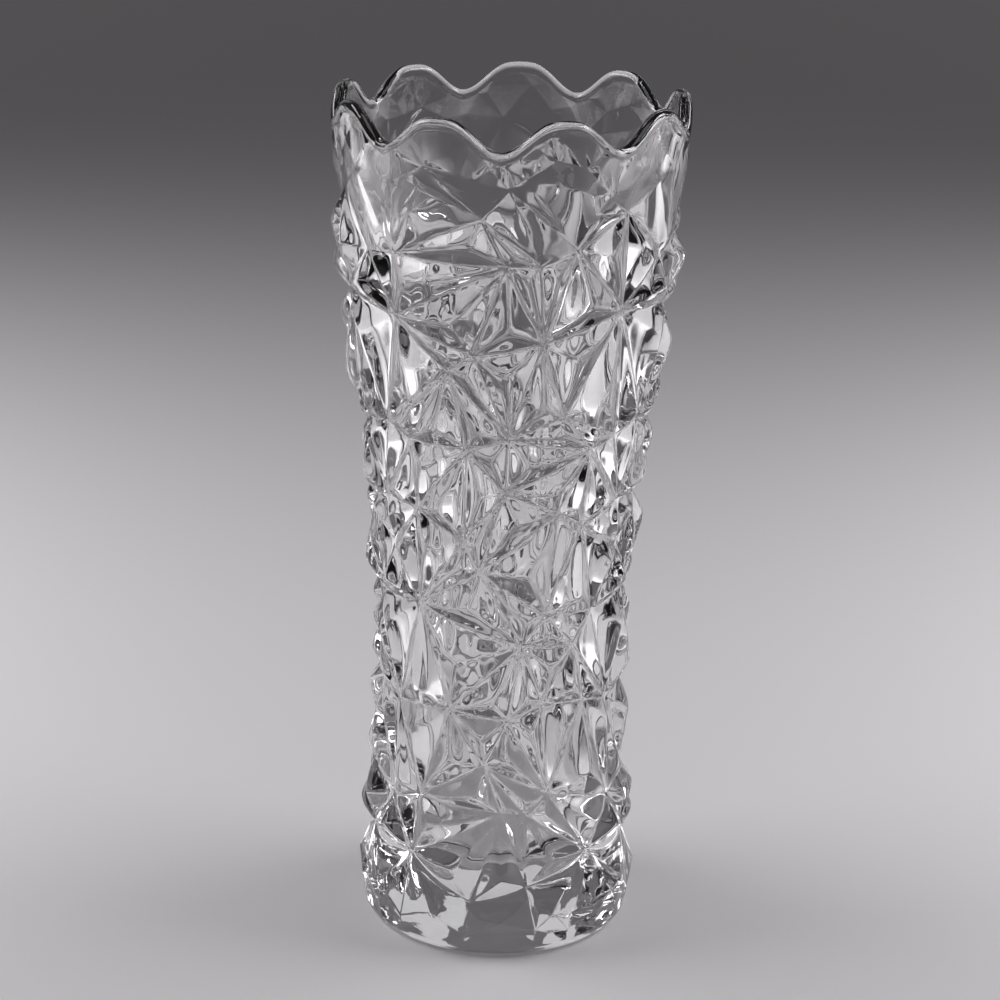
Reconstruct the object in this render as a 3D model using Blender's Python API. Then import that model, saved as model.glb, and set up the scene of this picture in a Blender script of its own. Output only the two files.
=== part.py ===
"""Cut crystal vase: one piece of clear glass, star cut outside and smooth inside.

The outer skin is a net of recessed star points. V grooves run from star to star, and the
cell between three stars rises to a point on three facets. Above the top stars, flat facets
rise to arches under the scalloped, rounded rim. The foot is solid and its underside is
ground flat.

Metres, +Z up. The origin is the middle of the underside, and the front is towards -Y.
"""

import math

import bmesh
import bpy
from mathutils import Vector
from mathutils.geometry import delaunay_2d_cdt

NAME = "cut_crystal_vase"

# Height and rim
HEIGHT = 0.250
RIM_RADIUS = 0.0505
RIM_THICKNESS = 0.0040
SCALLOPS = 9
SCALLOP_DEPTH = 0.0083
SCALLOP_FULLNESS = 1.5
SCALLOP_PEAK = 17.0          # degrees round from the front
EDGE_DROP = 0.0034           # from the rim down to the upper edge of the facets
COLUMNS = 72                 # steps round the rim and the cavity
BEAD_STEPS = 6

# Outer envelope: height and the radius that the raised points reach
ENVELOPE = (
    (0.000, 0.0398), (0.014, 0.0418), (0.030, 0.0404), (0.052, 0.0382), (0.080, 0.0374),
    (0.110, 0.0385), (0.140, 0.0408), (0.172, 0.0448), (0.205, 0.0487), (0.237, 0.0503),
    (0.250, 0.0506),
)

# Foot
FOOT_HEIGHT = 0.0085         # of the smooth band under the facets
FOOT_WAVE = 0.0012           # unevenness of the facets' lower ends over that band
FOOT_EDGE = 0.0040           # height of the round lower edge
FOOT_FLAT_RADIUS = 0.0370
FOOT_COLUMNS = 24
FOOT_STEPS = 3

# Cavity: height and radius of the smooth wall, over a solid base with a round corner
CAVITY = (
    (0.031, 0.0280), (0.060, 0.0288), (0.100, 0.0308), (0.140, 0.0344), (0.175, 0.0384),
    (0.210, 0.0424), (0.236, 0.0457),
)
CORNER_RADIUS = 0.009
CAVITY_RINGS = 13
CORNER_STEPS = 5

# Star cutting. The pattern repeats in each third of the vase.
SECTORS = 3
SECTOR = 360.0 / SECTORS
AROUND = 0.262               # length round the skin where it is unrolled to lay out the net
STAR_DEPTH = 0.0028
GROOVE_RISE = 0.0005         # how much shallower a groove is half way between its stars
CELL_SLOPE = 0.60            # rise of a cell over the distance from its tip to its sides
CELL_RISE = 0.0040           # the most that a cell rises
SHOULDER_RISE = 0.0006

# Star points of one third, as (degrees round from the front, height in mm)
STARS = (
    (-56, 210), (-43, 211), (-9, 223.5), (-0.5, 210.5), (11, 210.5), (23.5, 214.5), (43, 224),
    (-43.5, 193), (-12, 184.5), (-22, 179.5), (13, 188.5), (44, 195.5),
    (-54, 160.5), (-40.5, 157), (-15, 157), (1.5, 160.5), (23, 166.5), (37.5, 155.5), (50, 158),
    (-40, 136), (-17, 128.5), (0.5, 144), (24, 137.5), (37, 132), (59, 137),
    (-57, 123), (-10, 119.5), (-41, 107), (10, 97), (20.5, 106), (36.5, 95.5), (46.5, 105),
    (-57, 74), (-24.5, 76), (4, 73.5), (20.5, 78.5), (44, 77),
    (-56.5, 43.5), (-39, 47), (-6.5, 59.5), (1.5, 45), (12.5, 44.5), (24, 50),
    (-41, 28.5), (-10.5, 17), (13.5, 22), (36, 10.5), (45, 29.5),
)

# Points on the envelope: where the facets end in arches under the rim, and the shoulders
# that stand out of it over the foot
ARCHES = (
    (-57, 233), (-51, 240.5), (-44, 234), (-36, 233), (-27, 237), (-11, 234.5), (-6, 237.3),
    (-0.3, 232.5), (5, 235), (14.5, 240), (24, 237), (28.5, 240.5), (33, 229), (39, 237),
    (46, 236), (53, 243),
)
SHOULDERS = ((-56, 16), (-27, 13), (2, 12), (24, 14), (55, 15))


def between(points, height):
    """Radius at a height on a smooth curve through (height, radius) points."""
    last = len(points) - 2
    i = 0
    while i < last and height > points[i + 1][0]:
        i += 1
    (z0, r0), (z1, r1) = points[i], points[i + 1]
    step = z1 - z0

    def slope(k):
        low, high = points[max(k - 1, 0)], points[min(k + 1, last + 1)]
        return (high[1] - low[1]) / (high[0] - low[0])

    t = (height - z0) / step
    return (
        r0 * (1 + 2 * t) * (1 - t) ** 2
        + r1 * t * t * (3 - 2 * t)
        + step * (slope(i) * t * (1 - t) ** 2 - slope(i + 1) * t * t * (1 - t))
    )


def on_axis(angle, radius, height):
    """Point at an angle, in degrees round from the front towards +X."""
    turn = math.radians(angle)
    return Vector((radius * math.sin(turn), -radius * math.cos(turn), height))


def rim_height(angle):
    """Height of the scalloped rim at an angle."""
    wave = (1 - math.cos(math.radians(SCALLOPS * (angle - SCALLOP_PEAK)))) / 2
    return HEIGHT - SCALLOP_DEPTH * wave**SCALLOP_FULLNESS


def foot_height(angle):
    """Height at an angle where the facets end over the foot's smooth band."""
    return FOOT_HEIGHT + FOOT_WAVE * math.sin(math.radians(SCALLOPS * angle))


def column_angles(count):
    """Angles of a ring of columns, with one on every scallop's peak."""
    return [SCALLOP_PEAK + 360.0 * i / count for i in range(count)]


def net_points():
    """All points of the outer net, each as (angle, height, radius, kind)."""
    points = []
    groups = (
        (STARS, "star", -STAR_DEPTH),
        (ARCHES, "arch", 0),
        (SHOULDERS, "shoulder", SHOULDER_RISE),
    )
    for turn in range(SECTORS):
        for places, kind, rise in groups:
            for angle, height in places:
                z = height / 1000
                points.append((angle + SECTOR * turn, z, between(ENVELOPE, z) + rise, kind))
    for angle in column_angles(COLUMNS):
        z = rim_height(angle) - EDGE_DROP
        points.append((angle, z, between(ENVELOPE, z), "edge"))
    for angle in column_angles(FOOT_COLUMNS):
        z = foot_height(angle)
        points.append((angle, z, between(ENVELOPE, z), "foot"))
    return points


def net_triangles(points):
    """Triangles of the outer net, found on the skin unrolled flat and closed round.

    Each is three corners, as (index of the point, its place on the unrolled skin)."""
    flat, source, edge = [], [], []
    for lap in (-1, 0, 1):
        for index, (angle, height, _, kind) in enumerate(points):
            if kind == "edge":
                edge.append(len(flat))
            flat.append(Vector((AROUND * (angle / 360 + lap), height)))
            source.append(index)
    sides = list(zip(edge, edge[1:]))
    _, _, faces, origins, _, _ = delaunay_2d_cdt(flat, sides, [], 0, 1e-7)
    triangles = []
    for face in faces:
        places = [origins[corner][0] for corner in face]
        kinds = {points[source[place]][3] for place in places}
        left, middle, right = sorted((flat[place] for place in places), key=lambda p: p.x)
        above_edge = kinds == {"edge"} and (middle - left).cross(right - left) > 0
        inside = 0 <= (left.x + middle.x + right.x) / 3 < AROUND
        if inside and not above_edge and kinds != {"foot"}:
            triangles.append([(source[place], flat[place]) for place in places])
    return triangles


def cell_tip(a, b, c):
    """Raised point of a cell, over the place that lies equally far from its three sides."""
    sides = ((b - c).length, (c - a).length, (a - b).length)
    centre = (a * sides[0] + b * sides[1] + c * sides[2]) / sum(sides)
    inner_radius = abs((b - a).cross(c - a)) / sum(sides)
    rise = min(CELL_SLOPE * inner_radius, CELL_RISE)
    radius = between(ENVELOPE, centre.y) - STAR_DEPTH + rise
    return on_axis(360 * centre.x / AROUND, radius, centre.y)


def add_net(mesh, points):
    """Outer skin: facets between the stars. Returns the band's and the foot's vertices."""
    verts = [mesh.verts.new(on_axis(a, r, z)) for a, z, r, _ in points]
    groove_middles = {}

    def groove_middle(one, other):
        """Middle of the groove between two stars, which follows the round of the glass."""
        pair = frozenset((one, other))
        if pair not in groove_middles:
            middle = (verts[one].co + verts[other].co) / 2
            radius = between(ENVELOPE, middle.z) - STAR_DEPTH + GROOVE_RISE
            across = middle.xy.normalized() * radius
            groove_middles[pair] = mesh.verts.new((across.x, across.y, middle.z))
        return groove_middles[pair]

    for corners in net_triangles(points):
        (a, at_a), (b, at_b), (c, at_c) = corners
        if (at_b - at_a).cross(at_c - at_a) < 0:
            corners.reverse()
        order = [index for index, _ in corners]
        stars = [points[index][3] == "star" for index in order]
        if all(stars):
            centre = mesh.verts.new(cell_tip(at_a, at_b, at_c))
        elif sum(stars) == 2:
            centre = verts[order[stars.index(False)]]
        else:
            mesh.faces.new([verts[index] for index in order])
            continue
        for i in range(3):
            one, other = order[i], order[(i + 1) % 3]
            if stars[i] and stars[(i + 1) % 3]:
                middle = groove_middle(one, other)
                mesh.faces.new((verts[one], middle, centre))
                mesh.faces.new((middle, verts[other], centre))
    rings = []
    for kind in ("edge", "foot"):
        rings.append([v for v, point in zip(verts, points) if point[3] == kind])
    return rings


def add_ring(mesh, ring, radius, height):
    """New ring of vertices at a height, joined to the ring before it by four-sided faces."""
    new = []
    for vert in ring:
        angle = math.degrees(math.atan2(vert.co.x, -vert.co.y))
        new.append(mesh.verts.new(on_axis(angle, radius, height(angle))))
    for i in range(len(ring)):
        j = (i + 1) % len(ring)
        mesh.faces.new((ring[i], ring[j], new[j], new[i]))
    return new


def add_disc(mesh, ring, height):
    """Closes a ring with a fan of faces around a point on the axis."""
    middle = mesh.verts.new((0, 0, height))
    for i in range(len(ring)):
        mesh.faces.new((ring[i], ring[(i + 1) % len(ring)], middle))


def add_rim(mesh, ring):
    """Round bead along the scalloped rim, from outside to inside."""
    bead = RIM_THICKNESS / 2
    for step in range(BEAD_STEPS + 1):
        turn = math.pi * step / BEAD_STEPS
        radius = RIM_RADIUS - bead + bead * math.cos(turn)
        drop = bead - bead * math.sin(turn)
        ring = add_ring(mesh, ring, radius, lambda angle: rim_height(angle) - drop)
    return ring


def add_cavity(mesh, ring):
    """Smooth tapered wall, round corner and flat floor of the cavity."""
    (bottom, corner_radius), top = CAVITY[0], CAVITY[-1][0]
    for step in range(CAVITY_RINGS + 1):
        z = top + (bottom - top) * step / CAVITY_RINGS
        ring = add_ring(mesh, ring, between(CAVITY, z), lambda angle: z)
    for step in range(1, CORNER_STEPS + 1):
        turn = math.pi / 2 * step / CORNER_STEPS
        radius = corner_radius - CORNER_RADIUS * (1 - math.cos(turn))
        z = bottom - CORNER_RADIUS * math.sin(turn)
        ring = add_ring(mesh, ring, radius, lambda angle: z)
    add_disc(mesh, ring, bottom - CORNER_RADIUS)


def add_foot(mesh, ring):
    """Smooth band, round lower edge and the flat underside that the vase stands on."""
    outside = between(ENVELOPE, FOOT_EDGE)
    for step in range(FOOT_STEPS + 1):
        turn = math.pi / 2 * step / FOOT_STEPS
        radius = FOOT_FLAT_RADIUS + (outside - FOOT_FLAT_RADIUS) * math.cos(turn)
        z = FOOT_EDGE * (1 - math.sin(turn))
        ring = add_ring(mesh, ring, radius, lambda angle: z)
    add_disc(mesh, ring, 0.0)


def glass_material():
    """Clear, colourless lead crystal."""
    material = bpy.data.materials.new("crystal_glass")
    material.use_nodes = True
    shader = material.node_tree.nodes["Principled BSDF"]
    shader.inputs["Base Color"].default_value = (0.96, 0.97, 0.98, 1.0)
    shader.inputs["Metallic"].default_value = 0.0
    shader.inputs["Roughness"].default_value = 0.02
    shader.inputs["IOR"].default_value = 1.54
    shader.inputs["Transmission Weight"].default_value = 1.0
    return material


def make_vase(collection):
    """The glass: net, rim, cavity and foot as one closed solid."""
    mesh = bmesh.new()
    edge, foot = add_net(mesh, net_points())
    add_cavity(mesh, add_rim(mesh, edge))
    add_foot(mesh, foot[::-1])
    data = bpy.data.meshes.new("glass_body")
    mesh.to_mesh(data)
    mesh.free()
    data.materials.append(glass_material())
    body = bpy.data.objects.new("glass_body", data)
    collection.objects.link(body)


def main():
    for old in list(bpy.data.objects):
        bpy.data.objects.remove(old)
    collection = bpy.data.collections.new(NAME)
    bpy.context.scene.collection.children.link(collection)
    make_vase(collection)


main()
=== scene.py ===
"""Cut crystal vase: the finished glass, its material, the soft studio light and the camera.

The glass follows part.py's design, and adds what flat facets leave out: rounded grooves and
ridges, curved cell faces, lobes that swell between the grooves, a rolled rim and a faintly
rippled cavity. All of it is one closed mesh.
"""

import math

import bmesh
import bpy
import numpy as np
from mathutils import Matrix, Vector
from mathutils.geometry import delaunay_2d_cdt


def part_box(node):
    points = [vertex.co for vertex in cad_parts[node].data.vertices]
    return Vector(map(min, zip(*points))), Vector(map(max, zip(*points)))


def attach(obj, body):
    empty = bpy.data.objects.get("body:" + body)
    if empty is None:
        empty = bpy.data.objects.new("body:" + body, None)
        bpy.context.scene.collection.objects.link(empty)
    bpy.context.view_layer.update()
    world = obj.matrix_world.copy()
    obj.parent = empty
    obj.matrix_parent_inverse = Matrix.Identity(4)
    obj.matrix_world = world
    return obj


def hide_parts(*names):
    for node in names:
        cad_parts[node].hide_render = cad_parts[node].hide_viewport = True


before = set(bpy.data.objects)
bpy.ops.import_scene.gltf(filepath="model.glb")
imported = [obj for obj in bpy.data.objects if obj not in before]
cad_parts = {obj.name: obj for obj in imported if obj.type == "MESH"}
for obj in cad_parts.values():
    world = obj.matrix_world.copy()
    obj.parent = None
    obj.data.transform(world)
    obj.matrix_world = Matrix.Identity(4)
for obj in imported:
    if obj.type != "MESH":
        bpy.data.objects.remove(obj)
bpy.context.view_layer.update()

# ---------------------------------------------------------------- dimensions, from part.py
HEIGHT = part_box("glass_body")[1][2]
RIM_RADIUS = 0.0505
RIM_THICKNESS = 0.0040
SCALLOPS = 9
SCALLOP_DEPTH = 0.0083
SCALLOP_FULLNESS = 1.5
SCALLOP_PEAK = 17.0           # degrees round from the front
EDGE_DROP = 0.0034            # from the rim down to the upper edge of the facets
BAND_COLUMNS = 72             # facet ends along that edge

# Height and the radius that the raised points of the outer skin reach
ENVELOPE = (
    (0.000, 0.0398), (0.014, 0.0418), (0.030, 0.0404), (0.052, 0.0382), (0.080, 0.0374),
    (0.110, 0.0385), (0.140, 0.0408), (0.172, 0.0448), (0.205, 0.0487), (0.237, 0.0503),
    (0.250, 0.0506),
)

FOOT_HEIGHT = 0.0085          # of the smooth band under the facets
FOOT_WAVE = 0.0012            # unevenness of the facets' lower ends over that band
FOOT_EDGE = 0.0040            # height of the round lower edge
FOOT_FLAT_RADIUS = 0.0370
FOOT_COLUMNS = 24

# Height and radius of the cavity's smooth wall
CAVITY = (
    (0.031, 0.0280), (0.060, 0.0288), (0.100, 0.0308), (0.140, 0.0344), (0.175, 0.0384),
    (0.210, 0.0424), (0.236, 0.0457),
)
CORNER_RADIUS = 0.009

SECTORS = 3                   # the cutting repeats in each third of the vase
SECTOR = 360.0 / SECTORS
AROUND = 0.262                # length round the skin where it is unrolled
STAR_DEPTH = 0.0028
GROOVE_RISE = 0.0005          # how much shallower a groove is half way between its stars
CELL_SLOPE = 0.62             # rise of a cell over the distance from its tip to its sides
CELL_RISE = 0.0042            # the most that a cell rises
SHOULDER_RISE = 0.0006        # of the foot's facets where they meet between the stars
SHOULDER_SWELL = 0.0003       # of the curved skin there, under the flat facets' share

# Points of one third, as (degrees round from the front, height in mm): the stars, the arches
# in which the facets end under the rim, and the shoulders over the foot
STARS = (
    (-56, 210), (-43, 211), (-9, 223.5), (-0.5, 210.5), (11, 210.5), (23.5, 214.5), (43, 224),
    (-43.5, 193), (-12, 184.5), (-22, 179.5), (13, 188.5), (44, 195.5),
    (-54, 160.5), (-40.5, 157), (-15, 157), (1.5, 160.5), (23, 166.5), (37.5, 155.5), (50, 158),
    (-40, 136), (-17, 128.5), (0.5, 144), (24, 137.5), (37, 132), (59, 137),
    (-57, 123), (-10, 119.5), (-41, 107), (10, 97), (20.5, 106), (36.5, 95.5), (46.5, 105),
    (-57, 74), (-24.5, 76), (4, 73.5), (20.5, 78.5), (44, 77),
    (-56.5, 43.5), (-39, 47), (-6.5, 59.5), (1.5, 45), (12.5, 44.5), (24, 50),
    (-41, 28.5), (-10.5, 17), (13.5, 22), (36, 10.5), (45, 29.5),
)
ARCHES = (
    (-57, 233), (-51, 240.5), (-44, 234), (-36, 233), (-27, 237), (-11, 234.5), (-6, 237.3),
    (-0.3, 232.5), (5, 235), (14.5, 240), (24, 237), (28.5, 240.5), (33, 229), (39, 237),
    (46, 236), (53, 243),
)
SHOULDERS = ((-56, 16), (-27, 13), (2, 12), (24, 14), (55, 15))

# ---------------------------------------------------------------- finish of the glass
FACET_STEPS = 9               # divisions along each side of a facet
EDGE_CROWDING = 1.6           # above 1, the divisions crowd towards the facet's edges
GROOVE_ROUND = 0.00040        # radius at the bottom of a groove
RIDGE_ROUND = 0.00050         # softness of the ridges between facets
FACE_SWELL = 1.32             # above 1, a cell's faces swell instead of lying flat
LOBE_SWELL = 1.7              # above 1, so does the skin between the outermost stars
PILLOW = 0.0004               # how far the facets over the foot and under the rim bulge
RIM_STEP = 0.0003             # how far the rolled rim stands out of the facets under it
RIPPLE = 0.00011              # height of each ripple in the cavity wall
RIPPLES = ((5, 61), (8, -97), (13, 42), (21, -25), (34, 33))   # waves round it, and up it
WELD_DISTANCE = 0.000002

# Rings of points on the turned surfaces
BAND_RINGS = 3
BEAD_STEPS = 14
MOUTH_RINGS = 4
CAVITY_RINGS = 30
CORNER_STEPS = 8
FOOT_RINGS = 3
FOOT_STEPS = 6
CAVITY_FLOOR_RINGS = (0.6, 0.25)        # as shares of the flat part's radius
UNDERSIDE_RINGS = (0.97, 0.6, 0.25)

# ---------------------------------------------------------------- studio
CRYSTAL_COLOUR = (0.978, 0.971, 0.982, 1)
CRYSTAL_IOR = 1.54
WAVINESS_SCALE = 160          # of the polished surface
WAVINESS_STRENGTH = 0.06
WAVINESS_HEIGHT = 0.0004
FLOOR_COLOUR = (0.42, 0.41, 0.42, 1)
FLOOR_RADIUS = 4.0
FLOOR_GAP = 0.0003            # air under the vase, so that its base reflects as it does on a table
WORLD_COLOUR = (0.12, 0.1165, 0.12, 1)
MIDDLE = (0, 0, HEIGHT / 2)


def between(points, heights):
    """Radii at an array of heights on a smooth curve through (height, radius) points."""
    z = np.array([point[0] for point in points])
    r = np.array([point[1] for point in points])
    slopes = np.empty_like(r)
    slopes[1:-1] = (r[2:] - r[:-2]) / (z[2:] - z[:-2])
    slopes[0] = (r[1] - r[0]) / (z[1] - z[0])
    slopes[-1] = (r[-1] - r[-2]) / (z[-1] - z[-2])
    heights = np.asarray(heights, dtype=float)
    i = np.clip(np.searchsorted(z, heights) - 1, 0, len(z) - 2)
    step = z[i + 1] - z[i]
    t = (heights - z[i]) / step
    return (
        r[i] * (1 + 2 * t) * (1 - t) ** 2
        + r[i + 1] * t * t * (3 - 2 * t)
        + step * (slopes[i] * t * (1 - t) ** 2 - slopes[i + 1] * t * t * (1 - t))
    )


def rim_height(angles):
    """Height of the scalloped rim at an array of angles in degrees."""
    wave = (1 - np.cos(np.radians(SCALLOPS * (angles - SCALLOP_PEAK)))) / 2
    return HEIGHT - SCALLOP_DEPTH * wave**SCALLOP_FULLNESS


def round_the_axis(angles, radii, heights):
    """Points at angles, in degrees round from the front (-Y) towards +X."""
    turn = np.radians(angles)
    return np.stack([radii * np.sin(turn), -radii * np.cos(turn), heights + 0 * turn], axis=-1)


# ---------------------------------------------------------------- the net of the outer skin
def net_points():
    """All points of the net, as (angle, height, kind)."""
    points = []
    groups = ((STARS, "star"), (ARCHES, "arch"), (SHOULDERS, "shoulder"))
    for turn in range(SECTORS):
        for places, kind in groups:
            for angle, height in places:
                points.append((angle + SECTOR * turn, height / 1000, kind))
    for i in range(BAND_COLUMNS):
        angle = SCALLOP_PEAK + 360 * i / BAND_COLUMNS
        points.append((angle, float(rim_height(angle)) - EDGE_DROP, "edge"))
    for angle, height in foot_corners():
        points.append((angle, height, "foot"))
    return points


def foot_corners():
    """Angles and heights of the points where the facets end over the foot's smooth band."""
    corners = []
    for i in range(FOOT_COLUMNS):
        angle = SCALLOP_PEAK + 360 * i / FOOT_COLUMNS
        height = FOOT_HEIGHT + FOOT_WAVE * math.sin(math.radians(SCALLOPS * angle))
        corners.append((angle, height))
    return corners


def net_triangles(points):
    """Triangles of the net on the unrolled skin: (places, kinds), counter-clockwise."""
    flat, source, edge = [], [], []
    for lap in (-1, 0, 1):
        for index, (angle, height, kind) in enumerate(points):
            if kind == "edge":
                edge.append(len(flat))
            flat.append(Vector((AROUND * (angle / 360 + lap), height)))
            source.append(index)
    sides = list(zip(edge, edge[1:]))
    _, _, faces, origins, _, _ = delaunay_2d_cdt(flat, sides, [], 0, 1e-7)
    triangles = []
    for face in faces:
        places = [origins[corner][0] for corner in face]
        kinds = [points[source[place]][2] for place in places]
        left, middle, right = sorted((flat[place] for place in places), key=lambda p: p.x)
        above_edge = set(kinds) == {"edge"} and (middle - left).cross(right - left) > 0
        inside = 0 <= (left.x + middle.x + right.x) / 3 < AROUND
        if above_edge or not inside or set(kinds) == {"foot"}:
            continue
        a, b, c = (np.array(flat[place]) for place in places)
        if np.cross(b - a, c - a) < 0:
            places.reverse()
            kinds.reverse()
        triangles.append(([np.array(flat[place]) for place in places], kinds))
    return triangles


def side_lengths(a, b, c):
    """Lengths of the sides that lie across from each corner of a triangle."""
    return np.array([np.linalg.norm(b - c), np.linalg.norm(c - a), np.linalg.norm(a - b)])


def facet_grid(steps):
    """Shares of the three corners at a facet's points, and the triangles between them."""
    shares, index, faces = [], {}, []
    for i in range(steps + 1):
        for j in range(steps + 1 - i):
            index[i, j] = len(shares)
            shares.append((steps - i - j, i, j))
    for i in range(steps):
        for j in range(steps - i):
            faces.append((index[i, j], index[i + 1, j], index[i, j + 1]))
            if i + j < steps - 1:
                faces.append((index[i + 1, j], index[i + 1, j + 1], index[i, j + 1]))
    shares = (np.array(shares) / steps) ** EDGE_CROWDING
    return shares / shares.sum(axis=1, keepdims=True), np.array(faces)


def cell_lift(shares, corners):
    """Height of a cell's raised faces over its grooves."""
    a, b, c = corners
    sides = side_lengths(a, b, c)
    inner = abs(np.cross(b - a, c - a)) / sides.sum()
    across = shares * (inner * sides.sum() / sides)
    nearest = -RIDGE_ROUND * np.log(np.exp(-across / RIDGE_ROUND).sum(axis=1))
    nearest = np.maximum(nearest, 0)
    rounded = np.sqrt(nearest**2 + GROOVE_ROUND**2) - GROOVE_ROUND
    return min(CELL_SLOPE * inner, CELL_RISE) * (1 - (1 - rounded / inner).clip(0) ** FACE_SWELL)


def unrolled_to_round(places, lifts):
    """Points for places on the unrolled skin, lifted off the envelope."""
    angles, heights = places.T
    return round_the_axis(angles * 360 / AROUND, between(ENVELOPE, heights) + lifts, heights)


def skin_points(shares, corners, kinds):
    """Points of the outer skin over one net triangle."""
    corners = np.array(corners)
    star = np.array([kind == "star" for kind in kinds], dtype=float)
    cut, edge, shoulder = (
        shares @ np.array([kind == wanted for kind in kinds], dtype=float)
        for wanted in ("star", "edge", "shoulder")
    )
    grooves = sum(
        shares[:, i] * shares[:, j] * star[i] * star[j] for i, j in ((0, 1), (1, 2), (2, 0))
    )
    lift = 4 * GROOVE_RISE * grooves + SHOULDER_SWELL * shoulder**2 * (3 - 2 * shoulder)
    lift = lift - STAR_DEPTH * cut**LOBE_SWELL - RIM_STEP * edge**3
    if star.all():
        return unrolled_to_round(shares @ corners, lift + cell_lift(shares, corners))

    # Away from the stars and from the edge under the rim, the skin flattens into facets
    curved = unrolled_to_round(shares @ corners, lift)
    rises = {"star": -STAR_DEPTH, "shoulder": SHOULDER_RISE, "edge": -RIM_STEP}
    flat = shares @ unrolled_to_round(corners, np.array([rises.get(kind, 0) for kind in kinds]))
    if star.any():
        outward = curved * (1, 1, 0) / np.hypot(curved[:, 0], curved[:, 1])[:, None]
        flat = flat + outward * (PILLOW * 27 * shares.prod(axis=1))[:, None]
    roundness = np.maximum(cut**3, edge**6)[:, None]
    return curved * roundness + flat * (1 - roundness)


def outer_skin():
    """Points and faces of the star-cut skin, from the foot's band to the rolled rim."""
    grid, grid_faces = facet_grid(FACET_STEPS)
    points, faces = [], []
    count = 0
    for corners, kinds in net_triangles(net_points()):
        whole = np.eye(3)
        parts = [whole]
        if set(kinds) == {"star"}:
            sides = side_lengths(*corners)
            tip = sides / sides.sum()
            parts = [np.array([whole[i], whole[(i + 1) % 3], tip]) for i in range(3)]
        for part in parts:
            points.append(skin_points(grid @ part, corners, kinds))
            faces.append(grid_faces + count)
            count += len(grid)
    return np.concatenate(points), np.concatenate(faces)


# ---------------------------------------------------------------- the turned surfaces
def turned(angles, rings):
    """Points and faces between rings that share the same angles. rings: (radii, heights)."""
    points = [round_the_axis(angles, radius, height) for radius, height in rings]
    count = len(angles)
    i = np.arange(count)
    j = (i + 1) % count
    faces = []
    for ring in range(len(rings) - 1):
        low, high = ring * count, (ring + 1) * count
        faces.append(np.stack([low + i, low + j, high + j, high + i], axis=1))
    return np.concatenate(points), np.concatenate(faces)


def crowded_shares():
    """Where the points along one side of a facet lie, from 0 at its start."""
    steps = np.arange(FACET_STEPS) / FACET_STEPS
    return steps**EDGE_CROWDING / (steps**EDGE_CROWDING + (1 - steps) ** EDGE_CROWDING)


def crowded_angles(columns):
    """Angles of the columns over the net's upper edge, where its own points lie."""
    starts = SCALLOP_PEAK + 360 * np.arange(columns) / columns
    return (starts[:, None] + crowded_shares()[None, :] * 360 / columns).ravel()


def rim_and_cavity():
    """Rolled rim, rippled wall and round corner, from the facets' upper edge to the floor."""
    angles = crowded_angles(BAND_COLUMNS)
    rim = rim_height(angles)
    bead = RIM_THICKNESS / 2
    corners = rim[::FACET_STEPS] - EDGE_DROP
    share = crowded_shares()[None, :]
    edge = (corners[:, None] * (1 - share) + np.roll(corners, -1)[:, None] * share).ravel()
    outside = between(ENVELOPE, edge) - RIM_STEP
    rings = []
    for step in range(BAND_RINGS):
        share = step / BAND_RINGS
        swell = share * share * (3 - 2 * share)
        radius = outside + (RIM_RADIUS - outside) * swell
        rings.append((radius, edge + (rim - bead - edge) * share))
    for step in range(BEAD_STEPS + 1):
        turn = math.pi * step / BEAD_STEPS
        rings.append((RIM_RADIUS - bead + bead * math.cos(turn), rim - bead + bead * math.sin(turn)))
    top, bottom = CAVITY[-1][0], CAVITY[0][0]
    inside = RIM_RADIUS - RIM_THICKNESS
    for step in range(1, MOUTH_RINGS):
        share = step / MOUTH_RINGS
        radius = inside + (between(CAVITY, top) - inside) * share
        rings.append((radius, (rim - bead) * (1 - share) + top * share))
    turns = np.radians(angles)
    for step in range(CAVITY_RINGS + 1):
        z = top + (bottom - top) * step / CAVITY_RINGS
        fade = math.sin(math.pi * step / CAVITY_RINGS)
        ripple = sum(np.sin(around * turns + along * z) for around, along in RIPPLES)
        rings.append((between(CAVITY, z) + RIPPLE * fade * ripple, z))
    for step in range(1, CORNER_STEPS + 1):
        turn = math.pi / 2 * step / CORNER_STEPS
        radius = CAVITY[0][1] - CORNER_RADIUS * (1 - math.cos(turn))
        rings.append((radius, bottom - CORNER_RADIUS * math.sin(turn)))
    for share in CAVITY_FLOOR_RINGS:
        rings.append(((CAVITY[0][1] - CORNER_RADIUS) * share, bottom - CORNER_RADIUS))
    return turned(angles, rings), bottom - CORNER_RADIUS


def foot():
    """Smooth band, round edge and flat underside, from the facets' lower ends to the axis."""
    corner_angles, corner_heights = np.array(foot_corners()).T
    corners = round_the_axis(corner_angles, between(ENVELOPE, corner_heights), corner_heights)
    share = crowded_shares()[None, :, None]
    sides = corners[:, None] * (1 - share) + np.roll(corners, -1, axis=0)[:, None] * share
    x, y, top = sides.reshape(-1, 3)[::-1].T
    angles = np.degrees(np.arctan2(x, -y))
    outside = np.hypot(x, y)
    widest = between(ENVELOPE, FOOT_EDGE)
    rings = []
    for step in range(FOOT_RINGS):
        share = step / FOOT_RINGS
        rings.append((outside + (widest - outside) * share, top + (FOOT_EDGE - top) * share))
    for step in range(FOOT_STEPS + 1):
        turn = math.pi / 2 * step / FOOT_STEPS
        radius = FOOT_FLAT_RADIUS + (widest - FOOT_FLAT_RADIUS) * math.cos(turn)
        rings.append((radius, FOOT_EDGE * (1 - math.sin(turn))))
    for share in UNDERSIDE_RINGS:
        rings.append((FOOT_FLAT_RADIUS * share, 0.0))
    return turned(angles, rings), 0.0


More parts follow.
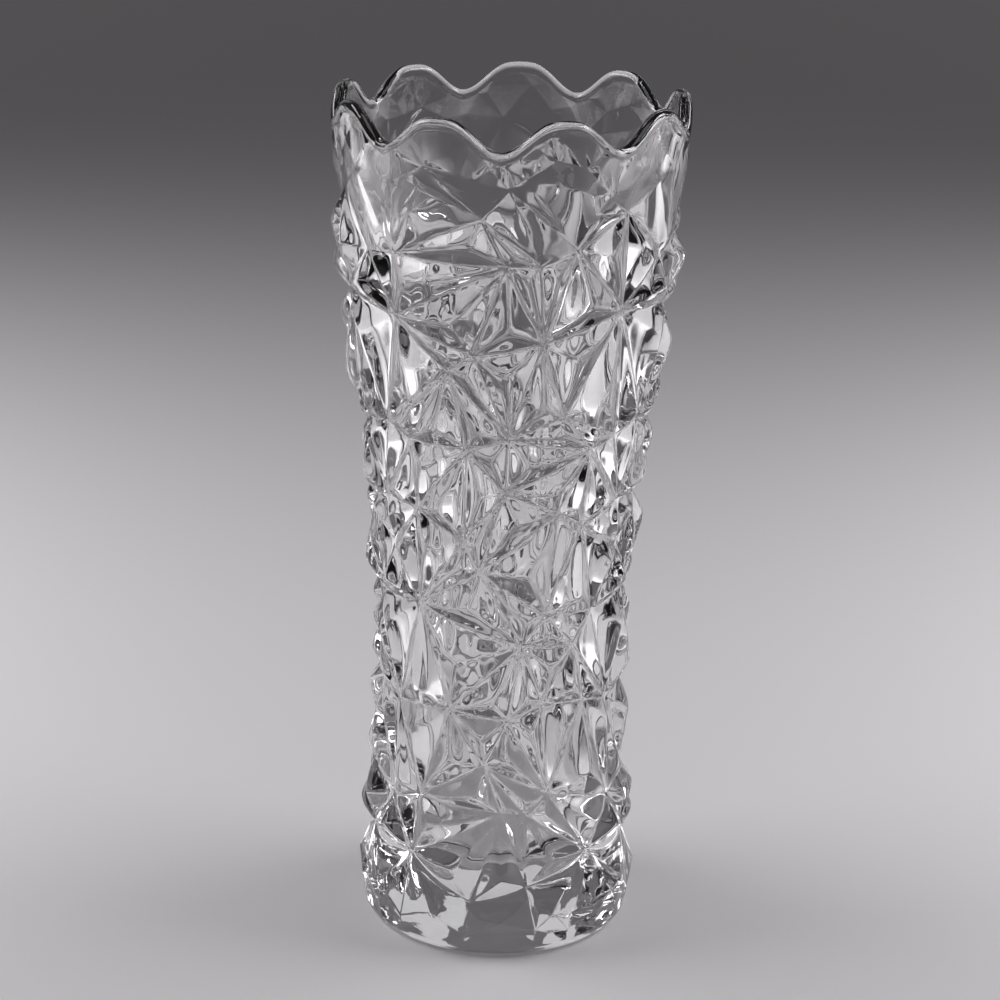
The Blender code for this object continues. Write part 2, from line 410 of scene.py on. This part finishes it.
def disc(points, count, height):
    """Fan that closes the last ring of a turned surface on the axis."""
    first = len(points) - count
    middle = len(points)
    i = np.arange(count)
    fan = np.stack([first + i, first + (i + 1) % count, np.full(count, middle)], axis=1)
    return np.vstack([points, [[0, 0, height]]]), fan


def glass_mesh():
    """The whole vase as one closed mesh, welded where its surfaces meet."""
    points, faces = outer_skin()
    all_points, all_faces = [points], [faces]
    count = len(points)
    for (part_points, quads), height, columns in (
        (*rim_and_cavity(), BAND_COLUMNS * FACET_STEPS),
        (*foot(), FOOT_COLUMNS * FACET_STEPS),
    ):
        part_points, fan = disc(part_points, columns, height)
        all_points.append(part_points)
        all_faces += [quads + count, fan + count]
        count += len(part_points)
    mesh = bpy.data.meshes.new("vase_glass")
    mesh.from_pydata(
        np.concatenate(all_points), [], [face for part in all_faces for face in part.tolist()]
    )
    weld(mesh)
    mesh.shade_smooth()
    return mesh


def weld(mesh):
    """Joins the points that coincide where surfaces meet."""
    work = bmesh.new()
    work.from_mesh(mesh)
    bmesh.ops.remove_doubles(work, verts=work.verts, dist=WELD_DISTANCE)
    work.to_mesh(mesh)
    work.free()


# ---------------------------------------------------------------- materials
def crystal():
    """Clear, fire-polished crystal, very faintly wavy."""
    material = bpy.data.materials.new("crystal_glass_clear")
    material.use_nodes = True
    nodes, links = material.node_tree.nodes, material.node_tree.links
    shader = nodes["Principled BSDF"]
    shader.inputs["Base Color"].default_value = CRYSTAL_COLOUR
    shader.inputs["Metallic"].default_value = 0
    shader.inputs["Roughness"].default_value = 0.0
    shader.inputs["IOR"].default_value = CRYSTAL_IOR
    shader.inputs["Transmission Weight"].default_value = 1
    place = nodes.new("ShaderNodeTexCoord")
    waves = nodes.new("ShaderNodeTexNoise")
    waves.inputs["Scale"].default_value = WAVINESS_SCALE
    waves.inputs["Detail"].default_value = 2
    links.new(place.outputs["Object"], waves.inputs["Vector"])
    bump = nodes.new("ShaderNodeBump")
    bump.inputs["Strength"].default_value = WAVINESS_STRENGTH
    bump.inputs["Distance"].default_value = WAVINESS_HEIGHT
    links.new(waves.outputs["Fac"], bump.inputs["Height"])
    links.new(bump.outputs["Normal"], shader.inputs["Normal"])
    return material


def floor_material():
    """Matt pale studio table."""
    material = bpy.data.materials.new("pale_floor")
    material.use_nodes = True
    shader = material.node_tree.nodes["Principled BSDF"]
    shader.inputs["Base Color"].default_value = FLOOR_COLOUR
    shader.inputs["Roughness"].default_value = 0.8
    return material


# ---------------------------------------------------------------- the vase
body = bpy.data.objects.new("vase_glass", glass_mesh())
bpy.context.scene.collection.objects.link(body)
body.data.materials.append(crystal())
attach(body, "root")
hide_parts("glass_body")


# ---------------------------------------------------------------- stage, light and camera
bpy.ops.mesh.primitive_circle_add(
    vertices=128, radius=FLOOR_RADIUS, fill_type="NGON", location=(0, 0, -FLOOR_GAP)
)
floor = bpy.context.object
floor.name = "floor"
floor.data.materials.append(floor_material())

world = bpy.data.worlds.new("studio")
bpy.context.scene.world = world
world.use_nodes = True
world.node_tree.nodes["Background"].inputs["Color"].default_value = WORLD_COLOUR


def softbox(name, place, target, size, power, spread=180, shadow=True):
    """Soft area light aimed at a target, not seen directly by the camera."""
    light = bpy.data.lights.new(name, "AREA")
    light.shape = "RECTANGLE"
    light.size, light.size_y = size
    light.energy = power
    light.spread = math.radians(spread)
    light.use_shadow = shadow
    lamp = bpy.data.objects.new(name, light)
    lamp.location = place
    lamp.rotation_euler = (Vector(target) - lamp.location).to_track_quat("-Z", "Y").to_euler()
    lamp.visible_camera = False
    bpy.context.scene.collection.objects.link(lamp)


softbox("key_left", (-1.05, 0.1, 0.6), (-0.95, 0.1, 0), (0.6, 1.2), 12.5, spread=115)
softbox("key_right", (1.05, 0.1, 0.6), (0.95, 0.1, 0), (0.6, 1.2), 13, spread=115)
softbox("back_left", (-1.6, 3.2, 1.2), MIDDLE, (1.3, 1.8), 3.2)
softbox("back_right", (1.6, 3.2, 1.2), MIDDLE, (1.3, 1.8), 3.2)
softbox("top", (0, -0.4, 1.5), MIDDLE, (0.8, 0.6), 2.2, shadow=False)

camera = bpy.data.objects.new("camera", bpy.data.cameras.new("camera"))
bpy.context.scene.collection.objects.link(camera)
camera.data.lens = 93.3
camera.data.sensor_width = 36
turn, tilt, roll = math.radians(0.077), math.radians(90 - 18.83), math.radians(1.18)
camera.matrix_world = (
    Matrix.Translation((0, -0.7206, 0.3748))
    @ Matrix.Rotation(turn, 4, "Z")
    @ Matrix.Rotation(tilt, 4, "X")
    @ Matrix.Rotation(roll, 4, "Z")
)
bpy.context.scene.camera = camera
bpy.context.scene.view_settings.view_transform = "Standard"
